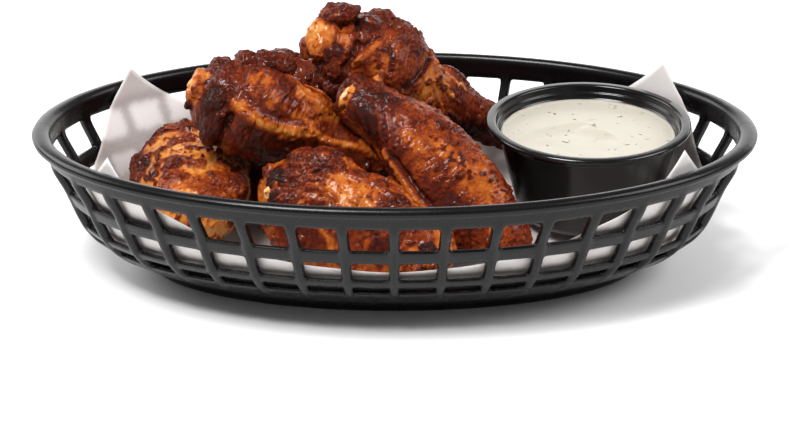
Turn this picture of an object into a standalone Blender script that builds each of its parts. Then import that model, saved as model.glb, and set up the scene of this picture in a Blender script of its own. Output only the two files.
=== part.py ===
"""Chicken wings in an oval plastic serving basket, with a paper liner and a pot of creamy dip.

Frame: metres, +Z up, the basket's foot stands on z = 0, its long side runs along X,
and the origin is under the middle of the basket.
"""
import math

import bmesh
import bpy
from mathutils import Matrix, Vector

MM = 0.001
TURN = 2 * math.pi

# ---- basket: an oval shell, half length and half width of each level, and its height ----
RIBS = 37                     # upright ribs round the wall, one at the middle of the front
RIB_WIDTH = 3.5 * MM          # at the top of the holes
FOOT = (80.3 * MM, 40.0 * MM, 0.0)
FOOT_TOP = (81.6 * MM, 41.2 * MM, 3.2 * MM)
HEEL = (88.5 * MM, 47.6 * MM, 6.4 * MM)
RIB_END = (94.9 * MM, 53.6 * MM, 10.1 * MM)
# the three rows of holes: lower edge and upper edge of each
LOW_HOLES = ((99.8 * MM, 58.2 * MM, 14.2 * MM), (102.1 * MM, 60.4 * MM, 17.1 * MM))
MID_HOLES = ((104.0 * MM, 62.2 * MM, 20.3 * MM), (106.8 * MM, 64.8 * MM, 26.9 * MM))
TOP_HOLES = ((108.7 * MM, 66.6 * MM, 31.9 * MM), (113.0 * MM, 70.6 * MM, 40.6 * MM))
WALL = 2.4 * MM
FLOOR_TOP = 5.2 * MM
FLOOR_EDGE_RISE = 1.4 * MM    # the floor turns up by this much at its edge
FLOOR_UNDER = 2.8 * MM
FOOT_WALL = 2.2 * MM
RIM_OUTER = (117.5 * MM, 73.4 * MM)
RIM_INNER = (110.9 * MM, 69.0 * MM)
RIM_UNDER = 45.5 * MM
RIM_TOP = 48.6 * MM

# ---- paper liner: a rectangle pressed down into the bowl, its corners standing up ----
PAPER_HALF_LENGTH = 112 * MM  # from the middle out to the edges, walking over the surface
PAPER_HALF_WIDTH = 67 * MM
PAPER_SHIFT = 1.5 * MM        # it lies a little to the right
CORNER_STRETCH = 0.055        # how much further the corners reach than the short edges
CORNER_DRAW = 0.215           # how much the long edges draw in towards the corners
PAPER_THICK = 0.5 * MM
PAPER_OFF_WALL = 1.3 * MM     # from the wall to the middle of the sheet
PAPER_STEPS = (20, 12)
RUCK_PLACE = (50 * MM, 3 * MM)        # the sheet rucks up under the pot
RUCK_HEIGHT = 3.2 * MM
RUCK_WIDTH = 17 * MM

# ---- pot of dip ----
CUP_PLACE = Vector((63.6 * MM, 11.2 * MM, 0))
CUP_BOTTOM = 13.2 * MM
CUP_TOP = 45.5 * MM
CUP_BASE_RADIUS = 22.4 * MM
CUP_NECK_RADIUS = 30.6 * MM
CUP_LIP_RADIUS = 33.3 * MM
CUP_WALL = 0.9 * MM
CUP_FLOOR = 2.2 * MM          # from the foot to the floor inside
CUP_HOLLOW = 1.2 * MM         # depth of the hollow under the pot
STACK_STEP = 3.4 * MM         # from the lip down to the ledge that another pot would rest on
LIP_THICK = 1.5 * MM
DIP_LEVEL = 40.3 * MM
TOUCH_GAP = 0.3 * MM
CUP_SIDES = 36

# ---- wings, in mm: the middle of the thick end, the middle of the thin end, the way the
# broad side faces, and how many degrees it is rolled from there about the bone ----
WINGS = {
    "drumette_left": dict(kind="drumette", head=(-57.3, 2.5, 56.4), tip=(-4.4, 1.7, 32.9),
                          faces=(0, -0.7, 0.7), plump=1.0),
    "drumette_back": dict(kind="drumette", head=(-15.7, 23.1, 64.1), tip=(37.2, 47.0, 28.7),
                          faces=(0, -0.7, 0.7), plump=1.15),
    "flat_right": dict(kind="flat", head=(-10.5, -0.2, 56.1), tip=(36.5, -30.1, 19.1),
                       faces=(0.1, -0.7, 0.7), roll=5, half_width=16.0, plump=1.0),
    "flat_left_front": dict(kind="flat", head=(-70.6, 24.1, 27.2), tip=(-63.2, -17.0, 23.2),
                            faces=(0, -0.3, 0.95), roll=13, half_width=20.0, plump=1.35),
    "flat_front": dict(kind="flat", head=(-35.5, -21.6, 32.6), tip=(12.6, -44.8, 23.4),
                       faces=(0, -0.85, 0.5), roll=7, half_width=20.5, plump=0.98),
    "flat_back": dict(kind="flat", head=(-57.9, 41.9, 39.8), tip=(-20.5, 47.9, 42.3),
                      faces=(0, -0.8, 0.5), roll=6, half_width=14.0, plump=0.8),
    "drumette_under_right": dict(kind="drumette", head=(21.7, 31.3, 21.6), tip=(-13.4, -0.5, 14.0),
                                 faces=(0, 0, 1), plump=0.80),
    "drumette_under_left": dict(kind="drumette", head=(-47.2, 31.3, 19.3), tip=(-14.3, 8.7, 22.2),
                                faces=(0, 0, 1), plump=0.80),
}
# outline of a wing along its bone: share of its length, share of its half width,
# share of its half thickness
DRUMETTE_SHAPE = ((0, 0, 0), (0.03, 0.46, 0.44), (0.09, 0.76, 0.74), (0.18, 0.95, 0.93),
                  (0.30, 1.0, 1.0), (0.42, 0.92, 0.92), (0.54, 0.72, 0.71), (0.66, 0.53, 0.52),
                  (0.78, 0.42, 0.42), (0.89, 0.43, 0.42), (0.96, 0.34, 0.33), (1, 0, 0))
FLAT_SHAPE = ((0, 0, 0), (0.03, 0.40, 0.46), (0.09, 0.60, 0.70), (0.18, 0.84, 0.88),
              (0.32, 1.0, 1.0), (0.50, 1.0, 1.02), (0.66, 0.94, 0.97), (0.80, 0.78, 0.84),
              (0.90, 0.58, 0.70), (0.97, 0.36, 0.44), (1, 0, 0))
DRUMETTE_RADIUS = 15.3        # mm, before "plump"
FLAT_RADIUS = 10.3
DRUMETTE_ENDS = (10.5, 6.6)   # mm of meat past the two middles
FLAT_ENDS = (9.0, 8.0)
WING_RINGS = 13
WING_SIDES = 16


def clear_scene():
    for thing in list(bpy.data.objects):
        bpy.data.objects.remove(thing, do_unlink=True)


def add_object(name, bm, colour, roughness, metallic=0.0):
    """Finish a bmesh as a named object with its own Principled material."""
    bmesh.ops.recalc_face_normals(bm, faces=bm.faces)
    mesh = bpy.data.meshes.new(name)
    bm.to_mesh(mesh)
    bm.free()
    mesh.shade_smooth()
    mesh.set_sharp_from_angle(angle=math.radians(40))
    thing = bpy.data.objects.new(name, mesh)
    bpy.context.collection.objects.link(thing)
    material = bpy.data.materials.new(name + "_material")
    material.use_nodes = True
    shader = material.node_tree.nodes["Principled BSDF"]
    shader.inputs["Base Color"].default_value = (*colour, 1)
    shader.inputs["Roughness"].default_value = roughness
    shader.inputs["Metallic"].default_value = metallic
    mesh.materials.append(material)
    return thing


def skin_between(bm, lower, upper, skip=()):
    """Quads between two rings of the same count, leaving out the columns in skip."""
    count = len(lower)
    for i in range(count):
        if i not in skip:
            j = (i + 1) % count
            bm.faces.new((lower[i], lower[j], upper[j], upper[i]))


def close_with_pole(bm, ring, height):
    middle = sum((v.co for v in ring), Vector()) / len(ring)
    pole = bm.verts.new((middle.x, middle.y, height))
    for i, vert in enumerate(ring):
        bm.faces.new((vert, ring[(i + 1) % len(ring)], pole))


# ---------------------------------------------------------------- basket

def rib_angles():
    """Two angles for each rib, equally spaced along the oval at the top of the holes."""
    half_x, half_y, _ = TOP_HOLES[1]
    steps = 7200
    walked = [0.0]
    for k in range(steps):
        angle = TURN * (k + 0.5) / steps
        walked.append(walked[-1] + math.hypot(half_x * math.cos(angle),
                                              half_y * math.sin(angle)) * TURN / steps)
    girth = walked[-1]
    angles = []
    k = 0
    for rib in range(RIBS):
        for side in (-0.5, 0.5):
            want = girth * rib / RIBS + side * RIB_WIDTH
            if want < 0:          # the left edge of the front rib
                angles.append(want / half_x)
                continue
            while walked[k + 1] < want:
                k += 1
            share = (want - walked[k]) / (walked[k + 1] - walked[k])
            angles.append(TURN * (k + share) / steps)
    return angles


def oval_ring(bm, level, angles, inset=0.0):
    half_x, half_y, height = level
    return [bm.verts.new(((half_x - inset) * math.sin(t), -(half_y - inset) * math.cos(t), height))
            for t in angles]


def build_basket():
    bm = bmesh.new()
    angles = rib_angles()
    gaps = set(range(1, 2 * RIBS, 2))
    hole_rows = (LOW_HOLES, MID_HOLES, TOP_HOLES)
    wall_levels = [level for row in hole_rows for level in row]

    outer = [oval_ring(bm, level, angles) for level in (FOOT, FOOT_TOP, HEEL, RIB_END)]
    outer += [oval_ring(bm, level, angles) for level in wall_levels]
    inner = [oval_ring(bm, level, angles, WALL) for level in wall_levels]
    first_hole = 4

    for k in range(len(outer) - 1):
        in_hole_row = k >= first_hole and (k - first_hole) % 2 == 0
        skin_between(bm, outer[k], outer[k + 1], gaps if in_hole_row else ())
    for k in range(len(inner) - 1):
        skin_between(bm, inner[k], inner[k + 1], gaps if k % 2 == 0 else ())
    for row in range(len(hole_rows)):
        low_out, high_out = outer[first_hole + 2 * row], outer[first_hole + 2 * row + 1]
        low_in, high_in = inner[2 * row], inner[2 * row + 1]
        for i in gaps:
            j = (i + 1) % len(angles)
            bm.faces.new((low_out[i], low_out[j], low_in[j], low_in[i]))
            bm.faces.new((high_out[i], high_out[j], high_in[j], high_in[i]))
            bm.faces.new((low_out[i], high_out[i], high_in[i], low_in[i]))
            bm.faces.new((low_out[j], high_out[j], high_in[j], low_in[j]))

    # rim: out under the lip, up round its edge, over the top and down the inside
    lip = 1.3 * MM                # height of the rolled edge
    rim_levels = (
        (TOP_HOLES[1][0] + 1.6 * MM, TOP_HOLES[1][1] + 0.9 * MM, RIM_UNDER),
        (RIM_OUTER[0] - 0.6 * MM, RIM_OUTER[1] - 0.4 * MM, RIM_UNDER),
        (RIM_OUTER[0], RIM_OUTER[1], RIM_UNDER + lip),
        (RIM_OUTER[0] - 1.5 * MM, RIM_OUTER[1] - 1.0 * MM, RIM_TOP - 0.3 * MM),
        (RIM_INNER[0] + 2.4 * MM, RIM_INNER[1] + 1.7 * MM, RIM_TOP),
        (RIM_INNER[0] + 0.5 * MM, RIM_INNER[1] + 0.4 * MM, RIM_TOP - lip),
        (*RIM_INNER, RIM_UNDER - lip),
    )
    rim = [oval_ring(bm, level, angles) for level in rim_levels]
    chain = [outer[-1], *rim, inner[-1]]
    for k in range(len(chain) - 1):
        skin_between(bm, chain[k], chain[k + 1])

    # floor inside, and the hollow under it inside the foot
    heel_in = oval_ring(bm, RIB_END, angles, WALL + 0.3 * MM)
    corner = oval_ring(bm, (HEEL[0], HEEL[1], FLOOR_TOP + FLOOR_EDGE_RISE), angles, WALL)
    edge = oval_ring(bm, (FOOT_TOP[0], FOOT_TOP[1], FLOOR_TOP), angles, 0.4 * MM)
    for low, high in ((inner[0], heel_in), (heel_in, corner), (corner, edge)):
        skin_between(bm, low, high)
    close_with_pole(bm, edge, FLOOR_TOP)
    foot_in = oval_ring(bm, FOOT, angles, FOOT_WALL)
    under = oval_ring(bm, (FOOT[0], FOOT[1], FLOOR_UNDER), angles, FOOT_WALL)
    skin_between(bm, outer[0], foot_in)
    skin_between(bm, foot_in, under)
    close_with_pole(bm, under, FLOOR_UNDER)
    return add_object("basket", bm, (0.028, 0.026, 0.028), 0.42)


# ---------------------------------------------------------------- paper

def inner_levels():
    """Levels of the bowl's inside, from the floor's middle to the air above the rim."""
    levels = [(0, 0, FLOOR_TOP), (FOOT_TOP[0] - WALL, FOOT_TOP[1] - WALL, FLOOR_TOP),
              (HEEL[0] - WALL, HEEL[1] - WALL, FLOOR_TOP + FLOOR_EDGE_RISE),
              (RIB_END[0] - WALL, RIB_END[1] - WALL, RIB_END[2])]
    for row in (LOW_HOLES, MID_HOLES, TOP_HOLES):
        levels += [(x - WALL, y - WALL, z) for x, y, z in row]
    above = 1.5 * RIM_TOP         # where a corner of the paper would reach if it went on up
    levels += [(*RIM_INNER, RIM_UNDER), (RIM_INNER[0] - 1.0 * MM, RIM_INNER[1] - 1.0 * MM, above)]
    return levels


def oval_reach(half_x, half_y, direction):
    if half_x == 0:
        return 0.0
    return 1 / math.hypot(math.cos(direction) / half_x, math.sin(direction) / half_y)


def bowl_point(along_x, along_y):
    """Point of the bowl's inside found by walking from its middle over the surface."""
    distance = math.hypot(along_x, along_y)
    direction = math.atan2(along_y, along_x)
    section = [(oval_reach(x, y, direction), z) for x, y, z in inner_levels()]
    walked = 0.0
    for (r0, z0), (r1, z1) in zip(section, section[1:]):
        step = math.hypot(r1 - r0, z1 - z0)
        if walked + step >= distance:
            break
        walked += step
    share = (distance - walked) / step
    reach = r0 + (r1 - r0) * share
    return Vector((reach * math.cos(direction), reach * math.sin(direction), z0 + (z1 - z0) * share))


def build_paper():
    """A grid on the bowl's surface, lifted off it and given its thickness both ways."""
    steps_x, steps_y = PAPER_STEPS
    step = 0.4 * MM
    bm = bmesh.new()
    faces = {-1: [], 1: []}
    for i in range(steps_x + 1):
        for side in faces:
            faces[side].append([])
        across_share = 2 * i / steps_x - 1
        for j in range(steps_y + 1):
            along_share = 2 * j / steps_y - 1
            x = PAPER_SHIFT + (PAPER_HALF_LENGTH * across_share
                               * (1 + CORNER_STRETCH * along_share ** 2))
            y = PAPER_HALF_WIDTH * along_share * (1 - CORNER_DRAW * across_share ** 2)
            place = bowl_point(x, y)
            across = bowl_point(x + step, y) - bowl_point(x - step, y)
            along = bowl_point(x, y + step) - bowl_point(x, y - step)
            normal = across.cross(along).normalized()
            ruck = math.exp(-((place.x - RUCK_PLACE[0]) ** 2 + (place.y - RUCK_PLACE[1]) ** 2)
                            / RUCK_WIDTH ** 2)
            lifted = place + normal * PAPER_OFF_WALL + Vector((0, 0, RUCK_HEIGHT * ruck))
            for side in faces:
                faces[side][i].append(bm.verts.new(lifted + normal * side * PAPER_THICK / 2))
    top, bottom = faces[1], faces[-1]
    for i in range(steps_x):
        for j in range(steps_y):
            for grid in (top, bottom):
                bm.faces.new((grid[i][j], grid[i + 1][j], grid[i + 1][j + 1], grid[i][j + 1]))
    last_x, last_y = steps_x, steps_y
    border = [(i, 0) for i in range(last_x)] + [(last_x, j) for j in range(last_y)]
    border += [(i, last_y) for i in range(last_x, 0, -1)] + [(0, j) for j in range(last_y, 0, -1)]
    for (i, j), (m, n) in zip(border, border[1:] + border[:1]):
        bm.faces.new((top[i][j], top[m][n], bottom[m][n], bottom[i][j]))
    return add_object("paper_liner", bm, (0.86, 0.82, 0.80), 0.65)


# ---------------------------------------------------------------- pot and dip

def turned(bm, profile, place, sides, start_pole, end_pole):
    """Skin of a turned shape: profile holds (radius, height), poles are heights on the axis."""
    rings = []
    for radius, height in profile:
        rings.append([bm.verts.new(place + Vector((radius * math.cos(TURN * k / sides),
                                                   radius * math.sin(TURN * k / sides), height)))
                      for k in range(sides)])
    for low, high in zip(rings, rings[1:]):
        skin_between(bm, low, high)
    close_with_pole(bm, rings[0], start_pole)
    close_with_pole(bm, rings[-1], end_pole)


def cup_radius(height):
    """Outer radius of the pot's tapered side."""
    share = (height - CUP_BOTTOM) / (CUP_TOP - CUP_BOTTOM)
    return CUP_BASE_RADIUS + (CUP_NECK_RADIUS - CUP_BASE_RADIUS) * share


def build_cup():
    bm = bmesh.new()
    ledge = CUP_TOP - STACK_STEP
    inner_floor = CUP_BOTTOM + CUP_FLOOR
    round_off = 0.5 * MM
    profile = (
        (CUP_BASE_RADIUS - 3.2 * MM, CUP_BOTTOM + CUP_HOLLOW),
        (CUP_BASE_RADIUS - 2.4 * MM, CUP_BOTTOM),
        (CUP_BASE_RADIUS - 0.8 * MM, CUP_BOTTOM),
        (cup_radius(CUP_BOTTOM + 2 * MM), CUP_BOTTOM + 2 * MM),
        (cup_radius(ledge) - 0.3 * MM, ledge - round_off),
        (CUP_NECK_RADIUS + 0.4 * MM, ledge),
        (CUP_NECK_RADIUS + 0.5 * MM, CUP_TOP - LIP_THICK),
        (CUP_LIP_RADIUS, CUP_TOP - LIP_THICK),
        (CUP_LIP_RADIUS, CUP_TOP - round_off),
        (CUP_LIP_RADIUS - 0.7 * MM, CUP_TOP),
        (CUP_NECK_RADIUS + 0.3 * MM, CUP_TOP),
        (CUP_NECK_RADIUS - CUP_WALL + 0.5 * MM, CUP_TOP - 0.8 * MM),
        (CUP_NECK_RADIUS - CUP_WALL + 0.4 * MM, ledge),
        (cup_radius(ledge) - CUP_WALL - 0.3 * MM, ledge - round_off),
        (cup_radius(inner_floor) - CUP_WALL, inner_floor + 1.5 * MM),
        (cup_radius(inner_floor) - CUP_WALL - 1.5 * MM, inner_floor),
    )
    turned(bm, profile, CUP_PLACE, CUP_SIDES, CUP_BOTTOM + CUP_HOLLOW, inner_floor)
    return add_object("dip_cup", bm, (0.012, 0.012, 0.013), 0.18)


def build_dip():
    """The dip fills the pot up to its level and bulges a little in the middle."""
    bm = bmesh.new()
    bottom = CUP_BOTTOM + CUP_FLOOR + TOUCH_GAP
    gap = CUP_WALL + TOUCH_GAP
    top_radius = cup_radius(DIP_LEVEL) - gap - 0.3 * MM
    bulge = 0.5 * MM
    profile = (
        (cup_radius(bottom) - gap - 1.8 * MM, bottom),
        (cup_radius(bottom) - gap - 0.4 * MM, bottom + 1.7 * MM),
        (top_radius, DIP_LEVEL - 0.3 * MM),
        (top_radius - 1.0 * MM, DIP_LEVEL),
        (top_radius * 0.62, DIP_LEVEL + 0.5 * bulge),
        (top_radius * 0.30, DIP_LEVEL + 0.9 * bulge),
    )
    turned(bm, profile, CUP_PLACE, CUP_SIDES, bottom, DIP_LEVEL + bulge)
    return add_object("dip", bm, (0.80, 0.76, 0.66), 0.3)


# ---------------------------------------------------------------- wings

def smooth_between(rows, share):
    """Catmull-Rom reading of a short table whose first column is the share of the length."""
    for k in range(len(rows) - 1):
        if share <= rows[k + 1][0]:
            break
    before, here, there, after = (rows[max(k - 1, 0)], rows[k], rows[k + 1],
                                  rows[min(k + 2, len(rows) - 1)])
    t = (share - here[0]) / (there[0] - here[0])
    values = []
    for a, b, c, d in zip(before[1:], here[1:], there[1:], after[1:]):
        values.append(0.5 * (2 * b + (c - a) * t + (2 * a - 5 * b + 4 * c - d) * t ** 2
                             + (3 * b - a - 3 * c + d) * t ** 3))
    return values


def build_wing(name, wing):
    """A wing modelled along its own Z, thick end first, then laid where it belongs."""
    drumette = wing["kind"] == "drumette"
    shape = DRUMETTE_SHAPE if drumette else FLAT_SHAPE
    radius = (DRUMETTE_RADIUS if drumette else FLAT_RADIUS) * wing["plump"] * MM
    half_width = radius if drumette else wing["half_width"] * MM
    head, tip = Vector(wing["head"]) * MM, Vector(wing["tip"]) * MM
    past_head, past_tip = (e * wing["plump"] * MM for e in (DRUMETTE_ENDS if drumette else FLAT_ENDS))
    bone = (tip - head).normalized()
    length = (tip - head).length + past_head + past_tip

    bm = bmesh.new()
    rings = []
    for k in range(1, WING_RINGS):
        share = 0.5 - 0.5 * math.cos(math.pi * k / WING_RINGS)
        width, thick = smooth_between(shape, share)
        rings.append([bm.verts.new((half_width * width * math.cos(TURN * n / WING_SIDES),
                                    radius * thick * math.sin(TURN * n / WING_SIDES),
                                    length * share - past_head)) for n in range(WING_SIDES)])
    for low, high in zip(rings, rings[1:]):
        skin_between(bm, low, high)
    close_with_pole(bm, rings[0], -past_head)
    close_with_pole(bm, rings[-1], length - past_head)

    thing = add_object(name, bm, (0.28, 0.085, 0.022), 0.4)
    faces = Vector(wing["faces"])
    faces = (faces - bone * faces.dot(bone)).normalized()
    faces = Matrix.Rotation(math.radians(wing.get("roll", 0)), 3, bone) @ faces
    side = faces.cross(bone)
    thing.matrix_world = Matrix.Translation(head) @ Matrix((side, faces, bone)).transposed().to_4x4()
    return thing


def main():
    clear_scene()
    build_basket()
    build_paper()
    build_cup()
    build_dip()
    for name, wing in WINGS.items():
        build_wing(name, wing)


main()
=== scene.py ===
import math
import random

import bmesh
import bpy
import numpy as np
from mathutils import Matrix, Vector, noise
from mathutils.bvhtree import BVHTree


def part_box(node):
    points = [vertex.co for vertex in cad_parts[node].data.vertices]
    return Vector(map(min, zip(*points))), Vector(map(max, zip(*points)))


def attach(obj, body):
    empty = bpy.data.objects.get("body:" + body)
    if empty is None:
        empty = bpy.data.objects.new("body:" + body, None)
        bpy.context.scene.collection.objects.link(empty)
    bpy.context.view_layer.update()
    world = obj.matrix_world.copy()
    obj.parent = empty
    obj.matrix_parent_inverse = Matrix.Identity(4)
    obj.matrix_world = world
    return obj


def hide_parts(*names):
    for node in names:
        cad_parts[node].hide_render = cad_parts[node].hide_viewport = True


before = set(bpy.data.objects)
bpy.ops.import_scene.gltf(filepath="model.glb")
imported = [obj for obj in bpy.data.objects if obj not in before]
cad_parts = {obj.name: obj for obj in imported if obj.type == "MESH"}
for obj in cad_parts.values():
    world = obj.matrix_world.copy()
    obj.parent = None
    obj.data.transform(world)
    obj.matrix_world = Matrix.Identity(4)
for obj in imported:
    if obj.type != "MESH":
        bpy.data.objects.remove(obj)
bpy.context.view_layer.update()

mm = 0.001
turn = 2 * math.pi
body = "root"


# a socket that maths can be written with, and the nodes behind it
class Flow:
    def __init__(self, tree, socket=None):
        self.tree, self.socket = tree, socket

    def node(self, kind, settings=None, inputs=None, output=0):
        made = self.tree.nodes.new("ShaderNode" + kind)
        for key, value in (settings or {}).items():
            if key == "stops":
                ramp = made.color_ramp
                while len(ramp.elements) < len(value):
                    ramp.elements.new(0.5)
                for element, (place, colour) in zip(ramp.elements, value):
                    element.position = place
                    element.color = (*colour, 1)
            else:
                setattr(made, key, value)
        for key, value in (inputs or {}).items():
            if isinstance(value, Flow):
                self.tree.links.new(value.socket, made.inputs[key])
            else:
                made.inputs[key].default_value = value
        return Flow(self.tree, made.outputs[output] if made.outputs else None)

    def maths(self, operation, first, second=0.0):
        return self.node("Math", {"operation": operation}, {0: first, 1: second})

    def __add__(self, other):
        return self.maths("ADD", self, other)

    def __sub__(self, other):
        return self.maths("SUBTRACT", self, other)

    def __rsub__(self, other):
        return self.maths("SUBTRACT", other, self)

    def __mul__(self, other):
        return self.maths("MULTIPLY", self, other)

    __radd__ = __add__
    __rmul__ = __mul__


def newMaterial(name):
    material = bpy.data.materials.new(name)
    material.use_nodes = True
    material.node_tree.nodes.clear()
    return material, Flow(material.node_tree)


def finishMaterial(flow, sockets):
    shader = flow.node("BsdfPrincipled", None, sockets)
    flow.node("OutputMaterial", None, {"Surface": shader})


def blendColours(flow, share, first, second):
    return flow.node("Mix", {"data_type": "RGBA"}, {0: share, 6: first, 7: second}, 2)


def grain(flow, size, detail=4.0, roughness=0.5):
    # cloudy noise on the object's own coordinates, size in metres
    place = flow.node("TexCoord", None, None, 3)
    return flow.node("TexNoise", None, {"Vector": place, "Scale": 1 / size, "Detail": detail,
                                        "Roughness": roughness})


def smoothStep(flow, value, low, high):
    return flow.node("MapRange", {"interpolation_type": "SMOOTHSTEP"},
                     {0: value, 1: low, 2: high, 3: 0.0, 4: 1.0})


def attribute(flow, name):
    return flow.node("Attribute", {"attribute_name": name}, None, 2)


def bump(flow, height, distance, strength=1.0):
    return flow.node("Bump", None, {"Height": height, "Distance": distance, "Strength": strength})


def addPiece(name, bm, material, node):
    mesh = bpy.data.meshes.new(name)
    bm.to_mesh(mesh)
    bm.free()
    mesh.shade_smooth()
    mesh.materials.append(material)
    piece = bpy.data.objects.new(name, mesh)
    bpy.context.scene.collection.objects.link(piece)
    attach(piece, body)
    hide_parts(node)
    return piece


def bakeModifiers(piece):
    # the mesh as its modifiers leave it
    graph = bpy.context.evaluated_depsgraph_get()
    mesh = bpy.data.meshes.new_from_object(piece.evaluated_get(graph))
    piece.modifiers.clear()
    piece.data = mesh


def cadCopy(node):
    # a merged copy of a CAD node's mesh
    bm = bmesh.new()
    bm.from_mesh(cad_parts[node].data)
    bmesh.ops.remove_doubles(bm, verts=bm.verts, dist=0.01 * mm)
    return bm


# ---- camera, light and floor
view = {"aim": (2.2, 0, 14.5), "distance": 809.7, "tilt": 22.83, "lens": 110.2}
studio = {"world": 0.22, "exposure": 0.15, "floorHalf": 4, "floorWhite": 0.98}
lamps = [
    {"name": "key", "place": (-0.36, -0.45, 1.15), "size": (0.45, 0.45), "power": 16},
    {"name": "left", "place": (-1.2, 0.5, 0.8), "size": (1.0, 0.7), "power": 10},
    {"name": "right", "place": (1.1, -0.2, 1.0), "size": (0.9, 0.7), "power": 10},
    {"name": "backdrop", "place": (0.0, 1.7, 0.45), "size": (3.6, 0.9), "power": 18},
]


def makeStudio():
    tilt = math.radians(view["tilt"])
    aim = Vector(view["aim"]) * mm
    camera = bpy.data.objects.new("camera", bpy.data.cameras.new("camera"))
    camera.data.lens = view["lens"]
    camera.data.sensor_width = 36
    camera.location = aim + view["distance"] * mm * Vector((0, -math.cos(tilt), math.sin(tilt)))
    camera.rotation_euler = (math.pi / 2 - tilt, 0, 0)
    bpy.context.scene.collection.objects.link(camera)
    bpy.context.scene.camera = camera

    for lamp in lamps:
        light = bpy.data.lights.new(lamp["name"], "AREA")
        light.shape = "RECTANGLE"
        light.size, light.size_y = lamp["size"]
        light.energy = lamp["power"]
        holder = bpy.data.objects.new(lamp["name"], light)
        holder.location = lamp["place"]
        holder.rotation_euler = (-Vector(lamp["place"])).to_track_quat("-Z", "Y").to_euler()
        bpy.context.scene.collection.objects.link(holder)

    world = bpy.data.worlds.new("studio")
    world.use_nodes = True
    world.node_tree.nodes["Background"].inputs["Color"].default_value = (1, 1, 1, 1)
    world.node_tree.nodes["Background"].inputs["Strength"].default_value = studio["world"]
    bpy.context.scene.world = world
    bpy.context.scene.view_settings.view_transform = "Standard"
    bpy.context.scene.view_settings.exposure = studio["exposure"]
    print("studio done")


def makeFloor():
    material, flow = newMaterial("floor_paint")
    white = studio["floorWhite"]
    finishMaterial(flow, {"Base Color": (white, white, white, 1), "Roughness": 0.8,
                          "Specular IOR Level": 0.2})
    bm = bmesh.new()
    bmesh.ops.create_grid(bm, x_segments=1, y_segments=1, size=studio["floorHalf"])
    mesh = bpy.data.meshes.new("floor")
    bm.to_mesh(mesh)
    bm.free()
    mesh.materials.append(material)
    floor = bpy.data.objects.new("floor", mesh)
    bpy.context.scene.collection.objects.link(floor)
    print("floor done")


# ---- basket
basket = {
    # a rib's width and how far it stands proud, in full between two levels and less at both
    "ribs": 37, "ribWidth": 3.5, "ribStand": 0.75, "ridgeFrom": 5, "ridgeTo": 22,
    # columns beside a rib's middle, as a share of its half width, and how high they rise
    "shoulder": 0.55, "shoulderRise": 0.72, "holeCorner": 1.1,
    # half length, half width, height of each level, from the foot up; holes are open rows
    "levels": [
        (80.3, 40.0, 0.0), (81.2, 40.8, 1.6), (81.8, 41.5, 3.2), (84.6, 44.0, 4.6),
        (88.5, 47.6, 6.4), (92.2, 51.1, 8.4), (95.4, 54.1, 10.4), (98.3, 56.8, 12.9),
        (99.8, 58.2, 14.2), (100.9, 59.3, 15.6), (102.1, 60.4, 17.1),
        (102.9, 61.2, 18.3), (103.5, 61.8, 19.3),
        (104.0, 62.2, 20.3), (104.8, 63.0, 22.0), (106.0, 64.1, 24.9), (106.8, 64.8, 26.9),
        (107.2, 65.2, 28.2), (108.1, 66.1, 30.4),
        (108.7, 66.6, 31.9), (109.5, 67.4, 33.8), (112.2, 69.9, 38.6), (113.0, 70.6, 40.6),
        (113.5, 71.0, 42.0), (114.1, 71.4, 44.6),
    ],
    "holeRows": ((8, 10), (13, 16), (19, 22)),
    # the rolled rim, on from the top level: out, over and down the inside
    "rim": [
        (114.5, 71.6, 45.3), (115.9, 72.5, 45.25), (116.7, 73.0, 45.3), (117.3, 73.35, 45.9),
        (117.45, 73.4, 46.7), (117.15, 73.2, 47.5), (116.2, 72.6, 48.2), (114.6, 71.5, 48.55),
        (113.0, 70.4, 48.45), (111.9, 69.6, 47.9), (111.25, 69.15, 46.9), (110.95, 68.95, 45.4),
        (110.9, 68.9, 43.6),
    ],
    # the inside lies one wall in from these levels, then runs down to the floor
    "wall": 2.4, "insideFrom": 8, "insideTo": 22, "floorTop": 5.2,
    "bowlFoot": [
        (95.9, 54.4, 12.9), (92.8, 51.5, 10.4), (89.5, 48.4, 8.4), (86.1, 45.2, 6.6),
        (81.4, 41.1, 5.2), (79.4, 39.1, 5.2),
    ],
    # the hollow under the floor, inside the foot
    "underFloor": [
        (79.2, 38.9, 0.0), (78.1, 37.8, 0.0), (77.9, 37.6, 1.4), (77.8, 37.5, 2.8),
        (76.1, 35.8, 2.8),
    ],
}
columnsPerRib = 8       # five on the rib, then three in the hole


def ovalAngles():
    # where the wall's columns stand, equally spaced on the oval, and how proud each one is
    halfX, halfY, _ = basket["levels"][basket["ridgeTo"]]
    steps = 7200
    angle = (np.arange(steps) + 0.5) * turn / steps
    walked = np.concatenate([[0], np.cumsum(np.hypot(halfX * np.cos(angle), halfY * np.sin(angle)))])
    walked *= turn / steps
    pitch = walked[-1] / basket["ribs"]
    half = basket["ribWidth"] / 2
    near = basket["shoulder"] * half
    corner = half + basket["holeCorner"]
    offsets = [-half, -near, 0, near, half, corner, pitch / 2, pitch - corner]
    wanted = np.array([rib * pitch + offset for rib in range(basket["ribs"]) for offset in offsets])
    edges = np.arange(steps + 1) * turn / steps
    angles = np.interp(wanted, walked, edges)
    angles[:2] = wanted[:2] / halfX          # the two columns left of the front's middle
    rise = basket["shoulderRise"]
    return angles, np.array([0, rise, 1, rise, 0, 0, 0, 0] * basket["ribs"])


def ovalPlaces(level, angles, inset=0.0, stand=0.0):
    halfX, halfY, height = level
    reach = stand - inset
    return [Vector(((halfX + r) * math.sin(t), -(halfY + r) * math.cos(t), height)) * mm
            for t, r in zip(angles, np.zeros(len(angles)) + reach)]


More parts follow.
